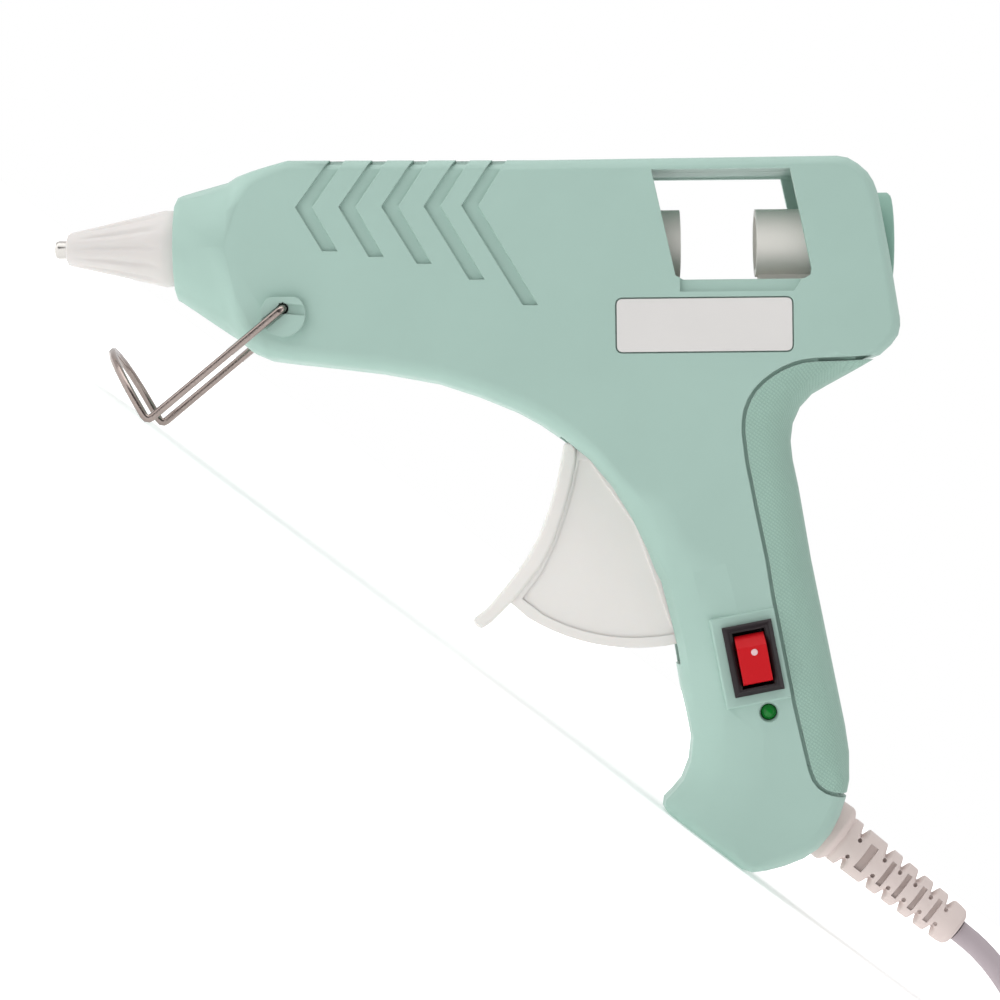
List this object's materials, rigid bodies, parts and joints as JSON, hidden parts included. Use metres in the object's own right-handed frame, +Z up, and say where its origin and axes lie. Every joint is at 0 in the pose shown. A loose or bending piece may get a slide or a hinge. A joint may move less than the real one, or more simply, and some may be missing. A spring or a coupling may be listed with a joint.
{
  "type": "hot glue applicator",
  "caption": "Pistol-shaped mains hot glue applicator with trigger feed, rocker switch, lamp, folding wire stand and a tied hank of cord with its plug.",
  "frame": {"origin": "on the table, in the middle of the flat foot of the handle", "axes": "+X from the nozzle towards the cord, +Y away from the side with the switch, +Z up"},
  "size_m": [0.3633, 0.0556, 0.137],
  "materials": {
    "mint_plastic": "satin moulded plastic",
    "grip_pad": "soft textured pad",
    "white_plastic": "semi-gloss moulded plastic",
    "silicone": "matt silicone",
    "steel": "plated steel",
    "aluminium": "cast and machined",
    "ceramic": "unglazed ceramic",
    "black_plastic": "semi-gloss",
    "red_plastic": "gloss",
    "green_lens": "clear tinted lens",
    "board": "coated board",
    "plate": "bare satin label",
    "cord_sheath": "smooth flexible sheath",
    "blue_sheath": "smooth",
    "brown_sheath": "smooth"
  },
  "bodies": {
    "housing": {"left_shell": "mint_plastic", "right_shell": "mint_plastic", "rear_collar": "mint_plastic", "grip_pad_left": "grip_pad", "grip_pad_right": "grip_pad", "nozzle_tip": "steel", "nozzle_sleeve": "silicone", "melt_chamber": "aluminium", "heater_element": "ceramic", "feed_sleeve": "white_plastic", "sleeve_clamp": "steel", "trigger_pin": "steel", "return_spring": "steel", "switch_frame": "black_plastic", "switch_terminal_1": "steel", "switch_terminal_2": "steel", "lamp_lens": "green_lens", "lamp_board": "board", "label_plate": "plate", "lead_neutral": "blue_sheath", "lead_switched": "brown_sheath", "lead_live": "brown_sheath", "cord_relief": "silicone", "cord_inner": "cord_sheath", "cord_clamp": "white_plastic", "clamp_screw_1": "steel", "clamp_screw_2": "steel", "shell_screw_1": "steel", "shell_screw_2": "steel", "shell_screw_3": "steel", "shell_screw_4": "steel", "shell_screw_5": "steel", "shell_screw_6": "steel", "cord_lead": "cord_sheath", "cord_hank": "cord_sheath", "cord_tail": "cord_sheath", "hank_tie": "black_plastic", "plug_body": "white_plastic", "plug_pin_1": "steel", "plug_pin_2": "steel"},
    "trigger": {"trigger": "white_plastic"},
    "carriage": {"carriage": "white_plastic", "carriage_pin": "steel", "grip_jaw": "steel"},
    "rocker": {"rocker": "red_plastic"},
    "stand": {"wire_stand": "steel"}
  },
  "joints": [
    {"name": "trigger_pull", "type": "hinge", "parent": "housing", "child": "trigger", "pos_m": [-0.06391, 0, 0.06016], "axis": [0, -1, 0], "range_deg": [0, 26], "stiffness_Nm_per_rad": 0.5, "springref_deg": -8.59, "deforming": ["return_spring"]},
    {"name": "carriage_slide", "type": "slide", "parent": "housing", "child": "carriage", "axis": [-0.7949, 0, -0.6067], "range_m": [0, 0.0149]},
    {"name": "rocker_tilt", "type": "hinge", "parent": "housing", "child": "rocker", "pos_m": [-0.01611, -0.0153, 0.0379], "axis": [0.6698, 0, 0.7425], "range_deg": [0, 16]},
    {"name": "stand_fold", "type": "hinge", "parent": "housing", "child": "stand", "pos_m": [-0.14178, 0, 0.03759], "axis": [0, -1, 0], "range_deg": [0, 135]}
  ],
  "couplings": [
    {"joint": "trigger_pull", "follows": "carriage_slide", "rad_per_m": 30.45}
  ]
}
